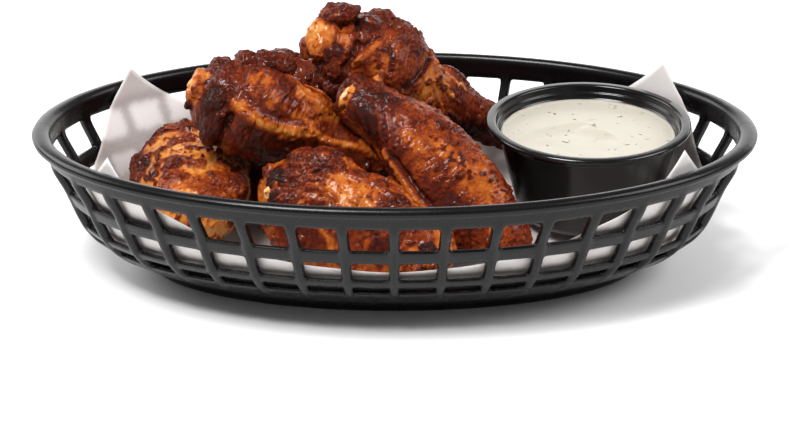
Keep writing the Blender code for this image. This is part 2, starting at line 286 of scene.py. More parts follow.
def extrudeRing(bm, edges, places, row=-1):
    # draws the ring of edges on to new places, and returns the new ring
    out = bmesh.ops.extrude_edge_only(bm, edges=edges)["geom"]
    number = bm.verts.layers.int["column"]
    for vert in out:
        if isinstance(vert, bmesh.types.BMVert):
            vert.co = places[vert[number]]
        elif isinstance(vert, bmesh.types.BMFace):
            columns = sorted({v[number] for v in vert.verts})
            wraps = columns[1] - columns[0] > 1
            vert[bm.faces.layers.int["column"]] = columns[1] if wraps else columns[0]
            vert[bm.faces.layers.int["row"]] = row
    return [e for e in out if isinstance(e, bmesh.types.BMEdge)
            and e.verts[0][number] != e.verts[1][number]]


def wallRings(angles, lift):
    # up the outside, over the rim, down the inside and on to the floor
    levels = basket["levels"]
    low, high = basket["ridgeFrom"], basket["ridgeTo"]
    rings = []
    for k, level in enumerate(levels):
        ridge = basket["ribStand"] if low < k < high else 0
        if k in (low, high):
            ridge = basket["shoulder"] * basket["ribStand"]
        rings.append(ovalPlaces(level, angles, 0, lift * ridge))
    rings += [ovalPlaces(level, angles) for level in basket["rim"]]
    inside = levels[basket["insideFrom"]:basket["insideTo"] + 1]
    rings += [ovalPlaces(level, angles, basket["wall"]) for level in reversed(inside)]
    return rings + [ovalPlaces(level, angles) for level in basket["bowlFoot"]]


def openHoles(bm):
    # opens the holes through both skins and walls their sides
    rowOf, columnOf = bm.faces.layers.int["row"], bm.faces.layers.int["column"]
    outside = len(basket["levels"]) + len(basket["rim"])
    openRows = {}
    for low, high in basket["holeRows"]:
        for k in range(low, high):
            openRows[k] = low
            openRows[outside + basket["insideTo"] - 1 - k] = low
    holes = {}
    for face in bm.faces:
        rib, column = divmod(face[columnOf], columnsPerRib)
        if face[rowOf] in openRows and column >= 4:
            holes.setdefault((openRows[face[rowOf]], rib), set()).add(face)
    loops = [[e for f in faces for e in f.edges if sum(g in faces for g in e.link_faces) == 1]
             for faces in holes.values()]
    bmesh.ops.delete(bm, geom=[face for faces in holes.values() for face in faces],
                     context="FACES_KEEP_BOUNDARY")
    for loop in loops:
        bmesh.ops.bridge_loops(bm, edges=loop)
    bmesh.ops.recalc_face_normals(bm, faces=bm.faces)


def fillFloor(mesh):
    # the flat floor, above and below; returns the whole shell for casting rays at
    bm = bmesh.new()
    bm.from_mesh(mesh)
    edge = [e for e in bm.edges if e.is_boundary]
    above = [e for e in edge if e.verts[0].co.z > 0.8 * basket["floorTop"] * mm]
    below = [e for e in edge if e not in set(above)]
    for loop in (above, below):
        bmesh.ops.triangle_fill(bm, edges=loop, use_beauty=True)
    bmesh.ops.recalc_face_normals(bm, faces=bm.faces)
    bm.to_mesh(mesh)
    shell = BVHTree.FromBMesh(bm)
    bm.free()
    mesh.shade_smooth()
    return shell


def makeBasket(material):
    angles, lift = ovalAngles()
    rings = wallRings(angles, lift)
    bm = bmesh.new()
    number = bm.verts.layers.int.new("column")
    bm.faces.layers.int.new("column")
    bm.faces.layers.int.new("row")
    bmesh.ops.create_circle(bm, segments=len(angles), radius=1)
    bm.verts.ensure_lookup_table()
    for k, vert in enumerate(bm.verts):
        vert[number] = k
        vert.co = rings[0][k]
    foot = list(bm.edges)
    ring = foot
    for row, places in enumerate(rings[1:]):
        ring = extrudeRing(bm, ring, places, row)
    ring = foot
    for level in basket["underFloor"]:
        ring = extrudeRing(bm, ring, ovalPlaces(level, angles))
    openHoles(bm)
    piece = addPiece("oval_basket", bm, material, "basket")
    smoother = piece.modifiers.new("smoother", "SUBSURF")
    smoother.levels = smoother.render_levels = 1
    bakeModifiers(piece)
    shell = fillFloor(piece.data)
    print("basket done", len(piece.data.polygons), "faces")
    return shell


def blackPlastic():
    material, flow = newMaterial("satin_black_plastic")
    cloudy = grain(flow, 14 * mm, 3)
    fine = grain(flow, 0.45 * mm, 3)
    colour = blendColours(flow, cloudy, (0.0017, 0.0014, 0.0018, 1), (0.0034, 0.0029, 0.0035, 1))
    rough = 0.20 + cloudy * 0.10 + fine * 0.05
    place = flow.node("TexCoord", None, None, 3)
    split = flow.node("SeparateXYZ", None, {"Vector": place}, 1)
    seam = 1 - smoothStep(flow, flow.maths("ABSOLUTE", split), 0.1 * mm, 0.35 * mm)
    height = fine * 0.5 + grain(flow, 5 * mm, 2) * 2 - seam * 3
    finishMaterial(flow, {
        "Base Color": colour, "Roughness": rough, "IOR": 1.5, "Specular IOR Level": 0.3,
        "Normal": bump(flow, height, 0.02 * mm),
    })
    return material


# ---- paper liner
paper = {
    "flat": (0.232, 0.134), "thick": 0.12, "cells": (150, 90), "offWall": 1.3, "wave": 0.5,
    # half length, half width and shift as it lies, how far the corners reach on and draw in
    "halfLength": 112, "halfWidth": 67, "shift": 1.5, "stretch": (0.055, 0.082), "drawIn": 0.215,
    # a ruck's place, breadth and height; how far off a bar's painted shade still reaches, and up to what
    # height
    "ruck": (50, 3, 17, 3.2), "barShadeReach": 6.0, "barShadeTop": 47,
    # levels of the wall that the sheet follows, and how it runs on above them
    "wallLevels": (6, 8, 10, 13, 16, 19, 22),
    "low": ((0.001, 0.001, 5.2), (79.2, 38.8, 5.2), (86.1, 45.2, 6.6)),
    "high": ((110.9, 69.0, 45.5), (109.9, 68.0, 72.9)),
}


def whitePaper():
    material, flow = newMaterial("thin_food_paper")
    fibres = grain(flow, 1.1 * mm, 6, 0.65)
    mottle = grain(flow, 9 * mm, 4)
    colour = blendColours(flow, mottle, (0.76, 0.715, 0.70, 1), (0.85, 0.815, 0.80, 1))
    # painted shade: the colour goes towards this grey where the basket's bars lie close to the sheet,
    # standing in for their shadow seen through the paper
    shade = attribute(flow, "plasticBehind") * (0.75 + fibres * 0.5)
    colour = blendColours(flow, shade, colour, (0.40, 0.355, 0.34, 1))
    finishMaterial(flow, {
        "Base Color": colour, "Roughness": 0.6 + fibres * 0.2, "Specular IOR Level": 0.3,
        "Normal": bump(flow, fibres + mottle * 4, 0.08 * mm, 0.6),
    })
    return material


def bowlPlace(x, y):
    # place on the inside of the bowl, found by walking from its middle over the surface
    wall = basket["wall"]
    sides = [basket["levels"][k] for k in paper["wallLevels"]]
    inside = [*paper["low"], *((a - wall, b - wall, z) for a, b, z in sides), *paper["high"]]
    direction = math.atan2(y, x)
    reach = [1 / math.hypot(math.cos(direction) / a, math.sin(direction) / b) for a, b, _ in inside]
    heights = [z for _, _, z in inside]
    walked = np.concatenate([[0], np.cumsum(np.hypot(np.diff(reach), np.diff(heights)))])
    distance = math.hypot(x, y)
    out = np.interp(distance, walked, reach)
    return Vector((out * math.cos(direction), out * math.sin(direction),
                   np.interp(distance, walked, heights))) * mm


def makePaper(material, bowl):
    across, along = paper["cells"]
    bm = bmesh.new()
    bmesh.ops.create_grid(bm, x_segments=across, y_segments=along, size=1)
    ruckX, ruckY, ruckWide, ruckHigh = paper["ruck"]
    for vert in bm.verts:
        u, v, _ = vert.co
        stretch = paper["stretch"][v > 0]
        x = paper["shift"] + paper["halfLength"] * u * (1 + stretch * v * v)
        y = paper["halfWidth"] * v * (1 - paper["drawIn"] * u * u)
        edge = max(abs(u), abs(v)) ** 8
        y += edge * 1.2 * noise.noise(Vector((u * 3, v * 2, 5)))
        vert.co = bowlPlace(x, y)
    bm.normal_update()
    if sum(v.normal.z for v in bm.verts) < 0:
        bmesh.ops.reverse_faces(bm, faces=bm.faces)
    for _ in range(6):
        bmesh.ops.smooth_vert(bm, verts=[v for v in bm.verts if not v.is_boundary], factor=0.5,
                              use_axis_x=True, use_axis_y=True, use_axis_z=True)
    bm.normal_update()
    for vert in bm.verts:
        off = math.hypot(vert.co.x / mm - ruckX, vert.co.y / mm - ruckY)
        wave = paper["wave"] * noise.noise(vert.co * (1 / (22 * mm)))
        vert.co += vert.normal * (paper["offWall"] + wave) * mm
        vert.co.z += ruckHigh * mm * math.exp(-(off / ruckWide) ** 2)
    bm.normal_update()

    # painted shade: the sheet is darkened where the basket's bars lie close to its back, standing in for
    # the bars' shadow seen through the paper
    barShade = bm.verts.layers.float.new("plasticBehind")
    for vert in bm.verts:
        hit = bowl.ray_cast(vert.co, -vert.normal, paper["barShadeReach"] * mm)
        near = 0 if hit[0] is None else 1 - 0.6 * hit[3] / (paper["barShadeReach"] * mm)
        near *= min(max((paper["barShadeTop"] - vert.co.z / mm) / 4, 0), 1)
        vert[barShade] = near
    softer = [0.5 * v[barShade] + 0.5 * sum(e.other_vert(v)[barShade] for e in v.link_edges)
              / len(v.link_edges) for v in bm.verts]
    for vert, value in zip(bm.verts, softer):
        vert[barShade] = value
    piece = addPiece("food_paper", bm, material, "paper_liner")
    thicken = piece.modifiers.new("thicken", "SOLIDIFY")
    thicken.thickness = paper["thick"] * mm
    thicken.offset = 0
    bakeModifiers(piece)
    print("paper done", len(piece.data.polygons), "faces")


# ---- pot of dip
cupLow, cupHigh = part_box("dip_cup")
cup = {
    "place": ((cupLow + cupHigh) / 2 / mm).xy, "steps": 128, "round": 0.28,
    # radius and height, from under the foot, up the outside, over the lip and down the inside
    "profile": (
        (0, 14.4), (19.0, 14.4), (20.0, 13.2), (21.6, 13.2), (22.9, 15.0), (29.5, 41.5),
        (31.1, 42.0), (31.4, 43.8), (33.1, 43.8), (33.7, 44.2), (33.7, 44.9), (33.2, 45.45),
        (30.9, 45.5), (30.3, 45.1), (30.1, 43.1), (29.5, 42.8), (29.3, 41.3), (28.75, 40.9),
        (22.6, 16.9), (21.0, 15.4), (0, 15.4),
    ),
    # degrees to the front about a point this high, and mm up
    "lean": 2.4, "leanAt": 29, "raise": 0.5,
}
dip = {
    # the fold is steep on its one side and slopes on the other
    "radius": 28.6, "level": 40.5, "bulge": 0.45, "fold": 1.0, "foldSides": (0.8, 3.4),
    # crest of the spoon's fold, right and back from the middle of the pot, in mm
    "crest": ((-26, -5), (-19, 0.5), (-12, 4), (-6, 7), (-1, 7.5), (2, 5), (1, 2.5), (5, 0)),
}
herbs = {"count": 74, "seed": 4, "reach": 27,
         "long": (0.35, 1.15), "wide": (0.2, 0.4), "high": (0.1, 0.16)}


def glossyPlastic():
    material, flow = newMaterial("gloss_black_plastic")
    cloudy = grain(flow, 9 * mm, 3)
    height = cloudy * 2 + grain(flow, 0.8 * mm, 2) * 0.3
    colour = blendColours(flow, cloudy, (0.0018, 0.0016, 0.002, 1), (0.003, 0.0026, 0.003, 1))
    finishMaterial(flow, {
        "Base Color": colour, "Roughness": 0.10 + cloudy * 0.12, "IOR": 1.5,
        "Normal": bump(flow, height, 0.05 * mm, 0.5),
    })
    return material


def creamyDip():
    material, flow = newMaterial("creamy_white_dip")
    cloudy = grain(flow, 6 * mm, 4)
    colour = blendColours(flow, cloudy, (0.485, 0.447, 0.376, 1), (0.525, 0.488, 0.414, 1))
    finishMaterial(flow, {
        "Base Color": colour, "Roughness": 0.26 + cloudy * 0.2,
        "Subsurface Weight": 0.25, "Subsurface Radius": (1.0, 0.8, 0.5), "Subsurface Scale": 1.5 * mm,
        "Normal": bump(flow, cloudy, 0.1 * mm, 0.5),
    })
    return material


def herbFlecks():
    material, flow = newMaterial("dried_herb")
    deep = attribute(flow, "depth")
    colour = blendColours(flow, deep, (0.060, 0.058, 0.036, 1), (0.52, 0.48, 0.37, 1))
    finishMaterial(flow, {"Base Color": colour, "Roughness": 0.5})
    return material


def spinProfile(bm, profile, steps, place):
    middle = Vector((*place, 0)) * mm
    verts = [bm.verts.new(middle + Vector((r, 0, z)) * mm) for r, z in profile]
    edges = [bm.edges.new(pair) for pair in zip(verts, verts[1:])]
    bmesh.ops.spin(bm, geom=verts + edges, cent=middle, axis=(0, 0, 1), dvec=(0, 0, 0),
                   angle=turn, steps=steps, use_merge=True)
    bmesh.ops.remove_doubles(bm, verts=bm.verts, dist=0.001 * mm)
    bmesh.ops.recalc_face_normals(bm, faces=bm.faces)


def leanPot(piece):
    # the pot and what it holds lean a little to the front
    middle = Matrix.Translation(Vector((*cup["place"], cup["leanAt"])) * mm)
    lean = Matrix.Rotation(math.radians(cup["lean"]), 4, "X")
    up = Matrix.Translation((0, 0, cup["raise"] * mm))
    piece.data.transform(up @ middle @ lean @ middle.inverted())


def makeCup(material):
    bm = bmesh.new()
    spinProfile(bm, cup["profile"], cup["steps"], cup["place"])
    piece = addPiece("dip_pot", bm, material, "dip_cup")
    rounder = piece.modifiers.new("rounder", "BEVEL")
    rounder.width = cup["round"] * mm
    rounder.segments = 3
    rounder.limit_method = "ANGLE"
    rounder.angle_limit = math.radians(18)
    bakeModifiers(piece)
    piece.data.shade_smooth()
    leanPot(piece)
    print("cup done", len(piece.data.polygons), "faces")


def dipHeight(right, back):
    # the surface above the dip's level, in mm
    reach = math.hypot(right, back) / dip["radius"]
    high = dip["bulge"] * (1 - reach * reach)
    high += 0.16 * noise.noise(Vector((right, back, 0)) / 7)
    high += 0.05 * noise.noise(Vector((right, back, 3)) / 2.5)
    nearest, side = 99, 0
    crest = dip["crest"]
    for (x0, y0), (x1, y1) in zip(crest, crest[1:]):
        step = Vector((x1 - x0, y1 - y0))
        off = Vector((right - x0, back - y0))
        off -= step * min(max(off.dot(step) / step.length_squared, 0), 1)
        if off.length < nearest:
            nearest = off.length
            side = math.copysign(1, step.x * off.y - step.y * off.x)
    width = dip["foldSides"][side < 0]
    return high + dip["fold"] * math.exp(-(nearest / width) ** 2) * (1 - reach ** 6)


def makeDip(material):
    radius, level = dip["radius"], dip["level"]
    rings = 45
    profile = [(0, 15.7), (20.5, 15.7), (22.3, 17.0), (radius - 0.7, level - 2.2),
               (radius - 0.1, level - 0.2), (radius, level + 0.15)]
    profile += [(radius * (1 - k / rings), level) for k in range(1, rings + 1)]
    bm = bmesh.new()
    spinProfile(bm, profile, cup["steps"], cup["place"])
    centre = Vector((*cup["place"], 0)) * mm
    for vert in bm.verts:
        off = (vert.co - centre) / mm
        if off.z > level - 0.1:
            # the edge climbs the wall of the pot a little
            climb = 0.35 * math.exp(-(radius - math.hypot(off.x, off.y)) / 0.5)
            vert.co.z += (dipHeight(off.x, off.y) + climb) * mm
    leanPot(addPiece("dip_fill", bm, material, "dip"))
    print("dip done")


def makeHerbs(material):
    rng = random.Random(herbs["seed"])
    bm = bmesh.new()
    depth = bm.verts.layers.float.new("depth")
    centre = Vector((*cup["place"], dip["level"])) * mm
    for _ in range(herbs["count"]):
        reach = herbs["reach"] * math.sqrt(rng.random())
        angle = rng.uniform(0, turn)
        right, back = reach * math.cos(angle), reach * math.sin(angle)
        size = Vector([rng.uniform(*herbs[way]) for way in ("long", "wide", "high")])
        sunk = rng.random() ** 0.7
        fleck = bmesh.ops.create_icosphere(bm, subdivisions=2, radius=1)["verts"]
        lean = Matrix.Rotation(rng.uniform(0, turn), 3, "Z")
        lean = lean @ Matrix.Rotation(rng.uniform(-0.2, 0.2), 3, "Y")
        spot = Vector((right, back, dipHeight(right, back) - 0.02))
        ragged = rng.uniform(0, 50)
        for vert in fleck:
            knobbly = vert.co * (1 + 0.35 * noise.noise(vert.co * 1.6 + Vector((ragged, 0, 0))))
            vert.co = centre + (spot + lean @ (knobbly * size)) * mm
            vert[depth] = sunk
    leanPot(addPiece("herb_flecks", bm, material, "dip"))
    print("herbs done")


# ---- wings
skinFinish = {
    "voxel": 0.42, "hiddenVoxel": 0.8, "soften": 3, "patchDepth": 3.0,
    # heights in mm of broad and middling waves, scabs, pimples on the crust and grain off it
    "broadWave": 0.9, "middleWave": 0.30, "scabRise": 1.05, "pimpleRise": 0.8, "grainRise": 0.13,
}
# how browned, how glazed and how crusty each look is
looks = {
    "bone": (0.0, 0.3, 0.0), "pale": (0.10, 0.5, 0.0), "gold": (0.24, 0.75, 0.0),
    "ochre": (0.34, 0.8, 0.0), "orange": (0.37, 0.6, 0.1), "brown": (0.51, 0.35, 0.5),
    "red": (0.59, 0.9, 0.0), "dark": (0.72, 0.5, 0.15), "crust": (0.63, 0.2, 1.0),
    "char": (0.81, 0.05, 1.0), "crumb": (0.42, 0.3, 1.4),
}
# the direction from the thick end to the thin one tells the ends apart; places are the share
# of the way to the thin end and the angle round the bone, 0 facing up and to the front, 90
# the back. Lumps: look, share, angle, half length, half width, height in mm, turn, reach.
# Strokes: look, width, height in mm, places. Patches: look, share, angle, half sizes in mm.
# Swells push the plain shape out, or in where negative: share, angle, half sizes, mm.
wings = {
    "drumette_left": {
        "towards": (1, 0, -1), "base": "red", "wrinkle": 0.22, "seed": 3,
        "swells": [(0.31, 20, 13, 14, 3.0), (0.52, -30, 12, 10, -1.5), (0.80, -8, 17, 12, 4.6),
                   (0.54, 66, 13, 8, 4.6)],
        "scabs": 0.12,
        "lumps": [
            ("orange", 0.01, 40, 3.0, 4.5, 3.0, 0),
            ("orange", 0.03, -48, 2.4, 3.0, 2.8, 0),
            ("crust", 0.09, 56, 4.2, 5.0, 3.4, 0), ("crust", 0.12, 18, 3.4, 6.5, 2.6, 0),
            ("crust", 0.15, -8, 3.0, 4.0, 2.4, 0), ("char", 0.12, -34, 4.0, 5.0, 4.6, 0),
            ("dark", 0.16, -70, 4.6, 8.5, 4.2, 0), ("dark", 0.04, -81, 1.6, 2.0, 3.0, 0),
            ("red", 0.26, -60, 4.6, 9.5, 3.6, 0), ("crust", 0.19, 66, 4.2, 4.6, 4.0, 0, 15.4),
            ("crust", 0.28, 67, 5.0, 4.8, 3.6, 0, 18.4), ("crust", 0.34, 67, 4.6, 4.2, 3.6, 0, 19.6),
            ("crust", 0.42, 70, 3.4, 3.2, 3.2, 0), ("ochre", 0.80, 8, 2.2, 1.6, 0.8, 0),
            ("ochre", 0.035, -13, 3.0, 4.4, 3.9, 0), ("pale", 0.03, -16, 1.5, 2.3, 4.5, 0),
        ],
        "strokes": [
            ("ochre", 3.4, 0.9, ((0.22, -20), (0.34, -28), (0.45, -27), (0.55, -14))),
            ("gold", 1.4, 0.3, ((0.25, -25), (0.36, -31), (0.47, -28))),
            ("ochre", 3.6, 1.4, ((0.40, 52), (0.50, 40), (0.60, 44), (0.70, 50))),
            ("gold", 0.55, 0.8, ((0.44, 60), (0.54, 62), (0.64, 58), (0.72, 46), (0.80, 28))),
            ("dark", 1.8, -1.6, ((0.21, -38), (0.21, -60), (0.22, -95))),
            ("red", 1.4, -0.9, ((0.20, 45), (0.20, 10), (0.21, -12))),
            ("red", 1.2, -0.5, ((0.23, -6), (0.32, -16), (0.42, -17), (0.51, -5))),
            ("ochre", 1.6, 0.7, ((0.56, -14), (0.66, -12), (0.78, -6), (0.88, -8))),
            ("red", 0.8, 0.40, ((0.29, 46), (0.27, 22), (0.26, 2))),
            ("red", 0.7, 0.40, ((0.35, 42), (0.33, 18), (0.31, -6))),
            ("red", 0.8, 0.35, ((0.41, 40), (0.39, 15), (0.37, -8))),
            ("red", 0.6, 0.30, ((0.47, 34), (0.45, 12), (0.43, -6))),
        ],
        "patches": [
            ("orange", 0.15, 62, 3.0, 3.0), ("orange", 0.27, 18, 4.0, 6.0),
            ("orange", 0.36, 4, 5.0, 3.0), ("ochre", 0.52, 36, 8.0, 5.0),
            ("orange", 0.50, 8, 6.0, 3.0), ("crust", 0.30, 58, 12.0, 3.0), ("dark", 0.50, -60, 16.0, 6.0),
            ("orange", 0.40, -28, 9.0, 2.5), ("dark", 0.70, -25, 9.0, 4.0), ("red", 0.85, 0, 6.0, 5.0),
        ],
    },
    "drumette_back": {
        "towards": (1, 1, -1), "base": "brown", "wrinkle": 0.15, "seed": 8,
        "swells": [(0.27, 25, 12, 20, 3.6), (0.25, -35, 9, 12, 2.0), (0.48, 70, 12, 14, -3.4),
                   (0.52, 10, 10, 13, -2.4), (0.72, 60, 12, 8, -0.8)],
        "scabs": 0.3,
        "lumps": [
            ("ochre", -0.015, 32, 5.5, 8.6, 6.2, 0, 3.2), ("gold", -0.02, 26, 2.8, 4.2, 6.8, 0, 3.2),
            ("orange", 0.045, -5, 2.2, 3.4, 2.6, 0),
            ("brown", -0.045, -119, 2.6, 4.2, 2.2, 0, 4.0), ("crumb", 0.02, -124, 2.6, 2.6, 2.4, 0, 5.5),
            ("crust", 0.02, 62, 6.4, 6.0, 3.2, 0, 11.8), ("crust", 0.08, 75, 5.5, 5.5, 4.0, 0, 8.5),
            ("dark", 0.13, 35, 3.8, 3.8, 3.6, 0), ("crust", 0.21, 58, 5.0, 6.0, 4.2, 0, 16.4),
            ("char", 0.29, 58, 3.4, 3.4, 3.4, 0, 17.0), ("dark", 0.04, -45, 3.4, 3.8, 4.6, 0),
            ("crust", 0.07, -70, 5.0, 5.0, 5.0, 0, 9.4), ("crust", 0.10, 8, 3.2, 3.4, 2.8, 0),
            ("crust", 0.12, -95, 4.4, 5.0, 4.2, 0),
        ],
        "strokes": [
            ("orange", 1.4, 0.7, ((0.10, -38), (0.12, -20), (0.15, 0))),
            ("crust", 1.3, -0.8, ((0.19, 2), (0.21, -10), (0.22, -25))),
            ("dark", 1.5, -1.5, ((0.085, 40), (0.09, 0), (0.08, -50))),
            ("dark", 1.8, -1.8, ((0.40, 60), (0.41, 25), (0.37, -5), (0.31, -35))),
            ("gold", 0.9, 0.45, ((0.44, 20), (0.50, 0), (0.56, -15))),
            ("gold", 0.8, 0.40, ((0.47, 40), (0.54, 25), (0.62, 10))),
            ("orange", 0.9, 0.45, ((0.42, -10), (0.48, -30), (0.55, -45))),
        ],
        "patches": [
            ("orange", 0.19, -22, 4.0, 4.0), ("orange", 0.44, -10, 7.0, 10.0),
            ("ochre", 0.43, -30, 8.0, 7.0),
            ("orange", 0.50, 30, 6.0, 7.0), ("dark", 0.66, -25, 8.0, 6.0), ("dark", 0.70, -60, 10.0, 6.0),
            ("char", 0.30, 6, 2.6, 1.8), ("crust", 0.30, -55, 6.0, 4.0), ("red", 0.70, 20, 10.0, 5.0),
            ("red", 0.62, 0, 6.0, 6.0), ("crust", 0.22, 40, 6.0, 6.0), ("dark", 0.90, 10, 8.0, 8.0),
            ("crust", 0.29, 20, 6.0, 7.0),
        ],
    },
    "flat_right": {
        "towards": (1, -1, -1), "base": "brown", "wrinkle": 0.2, "seed": 5, "scabs": 0.05,
        "spots": 0.85,
        "swells": [(0.22, -66, 14, 11, -2.4), (0.36, -92, 22, 14, -3.8), (0.28, -112, 20, 12, -3.4),
                   (0.60, 50, 18, 10, 3.0), (0.18, 75, 15, 10, -3.0), (0.45, 5, 16, 10, 1.2)],
        "lumps": [
            ("gold", 0.10, 54, 2.0, 2.0, 3.2, 0),
            ("crust", 0.04, 26, 3.0, 4.0, 2.4, 0), ("crust", 0.06, -90, 2.0, 2.4, 1.4, 0),
            ("crust", 0.09, 34, 3.0, 3.4, 1.6, 0),
            ("gold", 0.07, -42, 1.6, 3.8, 2.1, 20), ("bone", 0.065, -38, 0.7, 2.3, 2.5, 28),
        ],
        "strokes": [
            ("ochre", 1.7, 1.1, ((0.33, -58), (0.44, -64), (0.56, -66), (0.70, -68))),
            ("dark", 1.3, -1.0, ((0.38, -50), (0.48, -55), (0.60, -58))),
            ("dark", 1.0, 0.55, ((0.12, -30), (0.17, -46), (0.22, -64))),
            ("dark", 1.0, 0.60, ((0.14, -8), (0.20, -30), (0.26, -56))),
            ("red", 1.0, 0.55, ((0.18, 0), (0.24, -22), (0.29, -44))),
            ("red", 1.0, 0.55, ((0.23, 1), (0.29, -20), (0.34, -43))),
            ("red", 0.9, 0.40, ((0.29, -4), (0.34, -22), (0.38, -40))),
        ],
        "patches": [
            ("dark", 0.18, -22, 9.0, 7.0), ("dark", 0.30, -50, 13.0, 5.0), ("dark", 0.20, 22, 6.0, 4.0),
            ("orange", 0.50, 20, 13.0, 3.0), ("orange", 0.64, 18, 9.0, 4.0), ("orange", 0.80, -2, 7.0, 4.0),
            ("orange", 0.40, -4, 6.0, 3.0), ("orange", 0.72, 36, 9.0, 5.0),
            ("brown", 0.55, 62, 22.0, 4.0), ("brown", 0.88, 50, 7.0, 6.0),
            ("dark", 0.66, -45, 12.0, 5.0), ("brown", 0.34, 30, 8.0, 4.0),
        ],
    },
    "flat_left_front": {
        "towards": (0, -1, 0), "base": "gold", "wrinkle": 0.15, "seed": 12,
        "swells": [(0.5, 0, 14, 14, 1.0)], "scabs": 0.34,
        "lumps": [
            ("crust", 0.05, -60, 4.0, 5.0, 2.8, 0), ("crust", 0.14, -30, 4.0, 5.0, 3.0, 0),
            ("brown", 0.22, 10, 4.0, 6.0, 3.0, 0), ("crust", 0.34, -95, 3.0, 3.0, 2.6, 0),
            ("crust", 0.22, -88, 3.0, 3.0, 2.8, 0), ("crust", 0.12, -80, 3.0, 3.0, 2.6, 0),
            ("crust", 0.32, 45, 4.0, 4.0, 2.4, 0),
            ("crust", 0.30, -70, 5.0, 4.0, 2.8, 0), ("crust", 0.45, -75, 4.0, 4.0, 2.6, 0),
            ("crust", 0.75, 72, 5.0, 4.0, 2.6, 0), ("brown", 0.90, 50, 4.0, 5.0, 2.4, 0),
            ("crust", 0.40, 0, 2.6, 4.2, 1.6, 0), ("crust", 0.62, -16, 2.4, 4.4, 1.4, 0),
        ],
        "strokes": [
            ("crust", 1.5, 1.2, ((0.10, -70), (0.20, -35), (0.28, 0), (0.34, 35))),
            ("brown", 1.3, 1.0, ((0.36, 6), (0.42, 22), (0.40, 45))),
            ("brown", 1.3, 1.2, ((0.60, -48), (0.56, -30), (0.60, -10), (0.66, 5), (0.70, 20))),
        ],
        "patches": [
            ("crust", 0.40, -62, 9.0, 4.0), ("char", 0.46, -52, 3.0, 2.0), ("gold", 0.55, 30, 5.0, 6.0),
            ("orange", 0.20, 0, 4.0, 9.0), ("char", 0.41, 4, 1.4, 2.2), ("brown", 0.75, 60, 8.0, 6.0),
            ("char", 0.66, -32, 1.5, 2.4), ("char", 0.74, -12, 1.8, 3.0), ("brown", 0.82, 20, 5.0, 6.0),
            ("char", 0.68, 4, 1.2, 1.6), ("brown", 0.72, -30, 4.0, 6.0),
            ("gold", 0.50, -22, 4.0, 3.0), ("gold", 0.30, 12, 3.0, 4.0),
            ("ochre", 0.60, 26, 3.0, 4.0),
        ],
    },
    "flat_front": {
        "towards": (1, -1, -0.2), "base": "ochre", "wrinkle": 0.2, "seed": 21, "spots": 0.25,
        "swells": [(0.76, 60, 18, 13, -7.0), (0.46, 62, 16, 12, -5.5), (0.92, 20, 10, 10, -2.5)],
        "scabs": 0.22,
        "lumps": [
            ("char", 0.10, 12, 3.0, 3.8, 2.0, 0),
            ("brown", 0.02, 60, 3.0, 3.0, 3.0, 0), ("crust", 0.46, 58, 2.4, 2.4, 1.9, 0),
            ("crust", 0.57, 56, 2.0, 2.4, 1.7, 0), ("crust", 0.68, 50, 2.4, 2.0, 1.7, 0),
            ("crust", 0.12, 60, 2.6, 2.6, 2.6, 0), ("crust", 0.31, 62, 2.6, 2.4, 2.4, 0),
            ("char", 0.13, -35, 2.0, 3.0, 1.6, 0),
            ("crust", 0.17, 48, 4.6, 5.0, 2.8, 0), ("crust", 0.26, 46, 4.6, 5.0, 2.8, 0),
            ("crust", 0.20, 24, 3.6, 3.6, 1.8, 0), ("crust", 0.34, 50, 3.0, 3.0, 2.2, 0),
            ("crumb", 0.92, -55, 3.2, 3.2, 3.6, 0), ("char", 0.88, -22, 2.4, 1.7, 1.8, 30),
            ("crumb", 0.95, -10, 2.4, 2.4, 2.4, 0), ("crumb", 0.87, -75, 3.0, 3.0, 2.8, 0),
            ("char", 0.90, -38, 2.2, 2.2, 2.8, 0), ("crumb", 0.96, -35, 2.2, 2.2, 2.6, 0),
            ("bone", 0.09, -30, 1.4, 1.6, 2.4, 0),
        ],
        "strokes": [
            ("brown", 1.3, 0.8, ((0.28, 6), (0.34, 10), (0.42, 4))),
            ("brown", 1.5, 1.0, ((0.40, 48), (0.55, 46), (0.68, 42), (0.80, 30))),
            ("red", 1.2, 0.8, ((0.62, 22), (0.70, 30), (0.80, 22))),
        ],
        "patches": [
            ("crust", 0.16, 30, 6.0, 6.0), ("orange", 0.44, 30, 8.0, 2.5), ("brown", 0.25, 16, 3.0, 5.0),
            ("red", 0.68, 30, 7.0, 5.0), ("red", 0.55, -50, 8.0, 5.0), ("dark", 0.30, -75, 10.0, 6.0),
            ("dark", 0.72, -50, 7.0, 6.0), ("crust", 0.20, -12, 5.0, 6.0), ("red", 0.80, 5, 7.0, 6.0),
            ("red", 0.40, -20, 8.0, 3.0), ("brown", 0.52, 62, 14.0, 3.0), ("brown", 0.78, 55, 10.0, 3.0),
        ],
    },
    "flat_back": {
        "towards": (1, 0, 0), "base": "red", "wrinkle": 0.4, "seed": 30,
        "swells": [(0.55, 60, 16, 12, 2.2)],
        "lumps": [("crust", 0.5, 60, 8.0, 4.0, 2.0, 0), ("bone", 0.80, 50, 2.4, 1.6, 1.6, 0),
                  ("crust", 0.2, 30, 5.0, 4.0, 2.0, 0)],
        "strokes": [], "patches": [("dark", 0.3, 0, 8.0, 6.0), ("orange", 0.78, 40, 4.0, 3.0)],
    },
    "drumette_under_right": {
        "towards": (-1, -1, 0), "base": "dark", "wrinkle": 0.3, "seed": 41, "hidden": True,
        "lumps": [("crust", 0.1, 40, 3.0, 4.0, 3.0, 0), ("crust", 0.2, 160, 4.0, 4.0, 2.6, 0)],
        "strokes": [], "patches": [("orange", 0.5, 150, 8.0, 6.0)],
    },
    "drumette_under_left": {
        "towards": (1, -1, 0), "base": "dark", "wrinkle": 0.3, "seed": 52, "hidden": True,
        "lumps": [("crust", 0.1, 20, 3.0, 4.0, 3.0, 0), ("crust", 0.3, -120, 4.0, 4.0, 2.6, 0)],
        "strokes": [], "patches": [("orange", 0.5, -150, 8.0, 6.0)],
    },
}


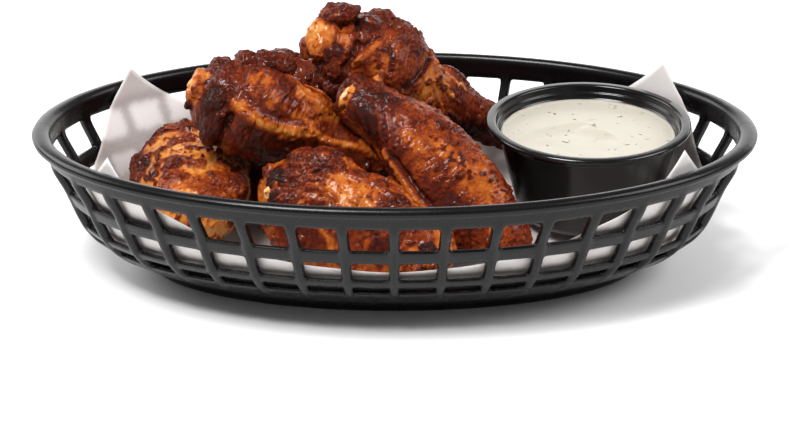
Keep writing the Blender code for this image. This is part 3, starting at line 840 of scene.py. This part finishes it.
def wingAxes(bm, towards):
    # middle, bone direction, the way angle 0 and angle 90 face, and the two ends along the bone
    places = np.array([v.co for v in bm.verts])
    middle = places.mean(0)
    bone = Vector(np.linalg.eigh(np.cov((places - middle).T))[1][:, 2])
    if bone.dot(Vector(towards)) < 0:
        bone.negate()
    facing = Vector((0, -1, 1))
    facing = (facing - bone * facing.dot(bone)).normalized()
    along = (places - middle) @ np.array(bone)
    return {"middle": Vector(middle), "bone": bone, "facing": facing, "side": facing.cross(bone),
            "low": along.min(), "high": along.max()}


def onSkin(axes, skin, share, angle, reach=None):
    # a place on the wing's skin and the way it faces
    start = axes["middle"] + axes["bone"] * (axes["low"] + (axes["high"] - axes["low"]) * share)
    inside = min(max(share, 0.03), 0.97)
    core = axes["middle"] + axes["bone"] * (axes["low"] + (axes["high"] - axes["low"]) * inside)
    angle = math.radians(angle)
    out = axes["facing"] * math.cos(angle) + axes["side"] * math.sin(angle)
    if reach is not None:
        place = start + out * reach * mm
        anchor = axes["middle"] + (core - axes["middle"]) * 0.8
        return place, (place - anchor).normalized()
    place, normal, _, _ = skin.ray_cast(core, out)
    if place is None:
        return core, out
    return place, normal


def lumpMatrix(axes, skin, share, angle, long, wide, high, twist=0, *reach):
    # takes a ball of radius 1 to a lump that sits on the skin
    place, normal = onSkin(axes, skin, share, angle, *reach)
    along = axes["bone"] - normal * normal.dot(axes["bone"])
    if along.length < 0.3:
        along = axes["facing"] - normal * normal.dot(axes["facing"])
    along = (Matrix.Rotation(math.radians(twist), 3, normal) @ along).normalized()
    around = normal.cross(along)
    turned = Matrix((along * long * mm, around * wide * mm, normal * high * mm)).transposed()
    return Matrix.Translation(place - normal * 0.35 * high * mm) @ turned.to_4x4()


def distanceFrom(matrix, places):
    # how far each place is from a lump's middle, where the lump's own skin is 1
    flat = np.array(matrix.inverted())
    return np.linalg.norm(places @ flat[:3, :3].T + flat[:3, 3], axis=1)


def cloud(places, size, seed, axes=None, across=None):
    # noise at each place; with axes, its grains are size along the bone and across wide
    if axes:
        base = np.array([axes["bone"], axes["facing"], axes["side"]])
        places = places @ base.T / np.array([size, across, across]) / mm
    else:
        places = places / (size * mm)
    shifted = (places + seed * 7.3).tolist()
    return np.array([noise.noise(v) for v in shifted])


def fade(distance, full, gone):
    share = np.clip((gone - distance) / (gone - full), 0, 1)
    return share * share * (3 - 2 * share)


def swellWing(bm, wing, axes):
    skin = BVHTree.FromBMesh(bm)
    for share, angle, long, wide, out in wing.get("swells", ()):
        toSpot = lumpMatrix(axes, skin, share, angle, long, wide, wide).inverted()
        for vert in bm.verts:
            near = (toSpot @ vert.co).length
            vert.co += vert.normal * out * mm * max(0, 1 - near * near) ** 2
    bm.normal_update()


def addLumps(bm, wing, axes, skin):
    matrices = []
    for k, lump in enumerate(wing["lumps"]):
        matrix = lumpMatrix(axes, skin, *lump[1:])
        matrices.append(matrix)
        rough = 0.09 if looks[lump[0]][2] > 0.3 else 0.05
        shift = Vector((wing["seed"], k, 0)) * 3.7
        ball = bmesh.ops.create_icosphere(bm, subdivisions=4, radius=1)["verts"]
        for vert in ball:
            swell = 1 + 0.2 * noise.noise(vert.co * 1.3 + shift) + rough * noise.noise(vert.co * 4 + shift)
            vert.co = matrix @ (vert.co * swell)
    return matrices


def shapeWing(node, wing, material):
    # the plain shape, rounded, swollen and fused with its lumps
    bm = cadCopy(node)
    bmesh.ops.join_triangles(bm, faces=bm.faces, angle_face_threshold=math.pi,
                             angle_shape_threshold=math.pi)
    axes = wingAxes(bm, wing["towards"])
    piece = addPiece(node + "_skin", bm, material, node)
    rounder = piece.modifiers.new("rounder", "SUBSURF")
    rounder.levels = rounder.render_levels = 2
    bakeModifiers(piece)

    bm = bmesh.new()
    bm.from_mesh(piece.data)
    swellWing(bm, wing, axes)
    skin = BVHTree.FromBMesh(bm)
    matrices = addLumps(bm, wing, axes, skin)
    bm.to_mesh(piece.data)
    bm.free()
    fuser = piece.modifiers.new("fuser", "REMESH")
    fuser.mode = "VOXEL"
    fuser.voxel_size = skinFinish["hiddenVoxel" if wing.get("hidden") else "voxel"] * mm
    softener = piece.modifiers.new("softener", "SMOOTH")
    softener.factor = 0.5
    softener.iterations = skinFinish["soften"]
    bakeModifiers(piece)
    return piece, axes, skin, matrices


def readMesh(mesh, name):
    values = np.empty(len(mesh.vertices) * 3)
    mesh.vertices.foreach_get(name, values)
    return values.reshape(-1, 3)


def makeWing(node, wing, material):
    piece, axes, skin, matrices = shapeWing(node, wing, material)
    mesh = piece.data
    places, normals = readMesh(mesh, "co"), readMesh(mesh, "normal")
    seed = wing["seed"]
    broad, middling, small = (cloud(places, size, seed) for size in (10, 3.2, 1.5))
    values = np.tile(np.array(looks[wing["base"]]), (len(places), 1))
    lift = skinFinish["broadWave"] * broad + skinFinish["middleWave"] * middling

    def paint(look, share):
        values[:] += (np.array(looks[look]) - values) * share[:, None]

    for look, share, angle, long, wide in wing["patches"]:
        depth = max(wide, skinFinish["patchDepth"])
        distance = distanceFrom(lumpMatrix(axes, skin, share, angle, long, wide, depth), places)
        paint(look, 0.9 * fade(distance + 0.45 * middling + 0.2 * small, 0.6, 1.25))
    # noise scatters scabs of crust, more on wings given more scabs and in broad patches
    scab = fade(-cloud(places, 3.6, seed + 5) - 0.4 * small, -0.30, -0.14)
    scab *= np.clip(wing.get("scabs", 0.1) * 2 + 1.4 * cloud(places, 12, seed + 9), 0, 1)
    paint("crust", scab)
    for lump, matrix in zip(wing["lumps"], matrices):
        share = fade(distanceFrom(matrix, places) + 0.4 * middling + 0.15 * small, 1.05, 1.4)
        paint(lump[0], share)
        scab *= 1 - share
    lift += skinFinish["scabRise"] * scab
    for look, width, height, route in wing["strokes"]:
        steps = np.linspace(0, len(route) - 1, 8 * len(route))
        shares = np.interp(steps, range(len(route)), [s for s, _ in route])
        angles = np.interp(steps, range(len(route)), [a for _, a in route])
        line = np.array([onSkin(axes, skin, s, a)[0] for s, a in zip(shares, angles)])
        nearest = np.min(np.linalg.norm(places[:, None] - line[None], axis=2), axis=1) / mm
        near = fade(nearest / width + 0.25 * middling, 0.25, 1.2)
        lift += height * near
        paint(look, near)

    browning, glaze, crust = values.T
    plain = 1 - crust
    wrinkles = 1 - np.abs(cloud(places, 1.3, seed, axes, 3.4) + 0.25 * small) * 2.2
    lift += wing["wrinkle"] * wrinkles * (1 - 0.7 * crust)
    pimples = np.abs(small) + 0.6 * np.abs(cloud(places, 0.8, seed))
    lift += crust * (skinFinish["pimpleRise"] * pimples - 0.25)
    lift += skinFinish["grainRise"] * plain * small
    spotted = fade(-cloud(places, 1.9, seed + 2), -0.32, -0.12) * fade(-broad, -0.02, 0.15)
    browning = browning + 0.06 * broad + 0.05 * middling - 0.05 * (wrinkles - 0.5) * plain
    # dark spots keep off the palest and the darkest skin
    spotted *= np.clip(browning * 2.5, 0, 1) * np.clip(0.82 - browning, 0, 1)
    browning += wing.get("spots", 0.2) * spotted * plain
    places += normals * lift[:, None] * mm
    mesh.vertices.foreach_set("co", places.ravel())
    for name, share in (("browning", browning), ("glaze", glaze), ("crust", crust)):
        mesh.attributes.new(name, "FLOAT", "POINT").data.foreach_set("value", share.astype(np.float32))
    mesh.shade_smooth()
    mesh.update()
    print(node, "done", len(mesh.polygons), "faces")


def roastedSkin():
    material, flow = newMaterial("glazed_roasted_skin")
    browning, glaze, crust = (attribute(flow, name) for name in ("browning", "glaze", "crust"))
    blotch = grain(flow, 4.5 * mm, 4)
    speckle = grain(flow, 0.95 * mm, 5, 0.62)
    fine = grain(flow, 0.35 * mm, 3)
    freckle = smoothStep(flow, grain(flow, 1.5 * mm, 2), 0.58, 0.66)
    freckleArea = smoothStep(flow, blotch, 0.42, 0.56)
    baked = browning + (blotch - 0.5) * 0.30 + (speckle - 0.5) * (0.20 + crust * 0.60)
    baked = baked + freckle * freckleArea * 0.2
    colour = flow.node("ValToRGB", {"stops": [
        (0.0, (0.80, 0.54, 0.29)), (0.10, (0.72, 0.36, 0.125)), (0.22, (0.56, 0.205, 0.036)),
        (0.34, (0.41, 0.096, 0.010)), (0.47, (0.225, 0.034, 0.005)), (0.60, (0.108, 0.0125, 0.003)),
        (0.74, (0.045, 0.0062, 0.003)), (0.88, (0.021, 0.0115, 0.0095)), (1.0, (0.013, 0.0095, 0.009)),
    ]}, {0: baked})
    rough = 0.62 - glaze * 0.34 + (speckle - 0.5) * 0.3
    height = speckle * (0.8 + crust * 1.9) + fine * 0.4
    finishMaterial(flow, {
        "Base Color": colour, "Roughness": rough, "Coat Weight": glaze * 0.52 + crust * 0.15,
        "Specular IOR Level": 0.05, "Coat Roughness": 0.09, "Coat IOR": 1.45,
        "Normal": bump(flow, height, 0.32 * mm, 0.9),
    })
    return material


makeStudio()
makeFloor()
bowl = makeBasket(blackPlastic())
makePaper(whitePaper(), bowl)
makeCup(glossyPlastic())
makeDip(creamyDip())
makeHerbs(herbFlecks())
skinMaterial = roastedSkin()
for node, wing in wings.items():
    makeWing(node, wing, skinMaterial)
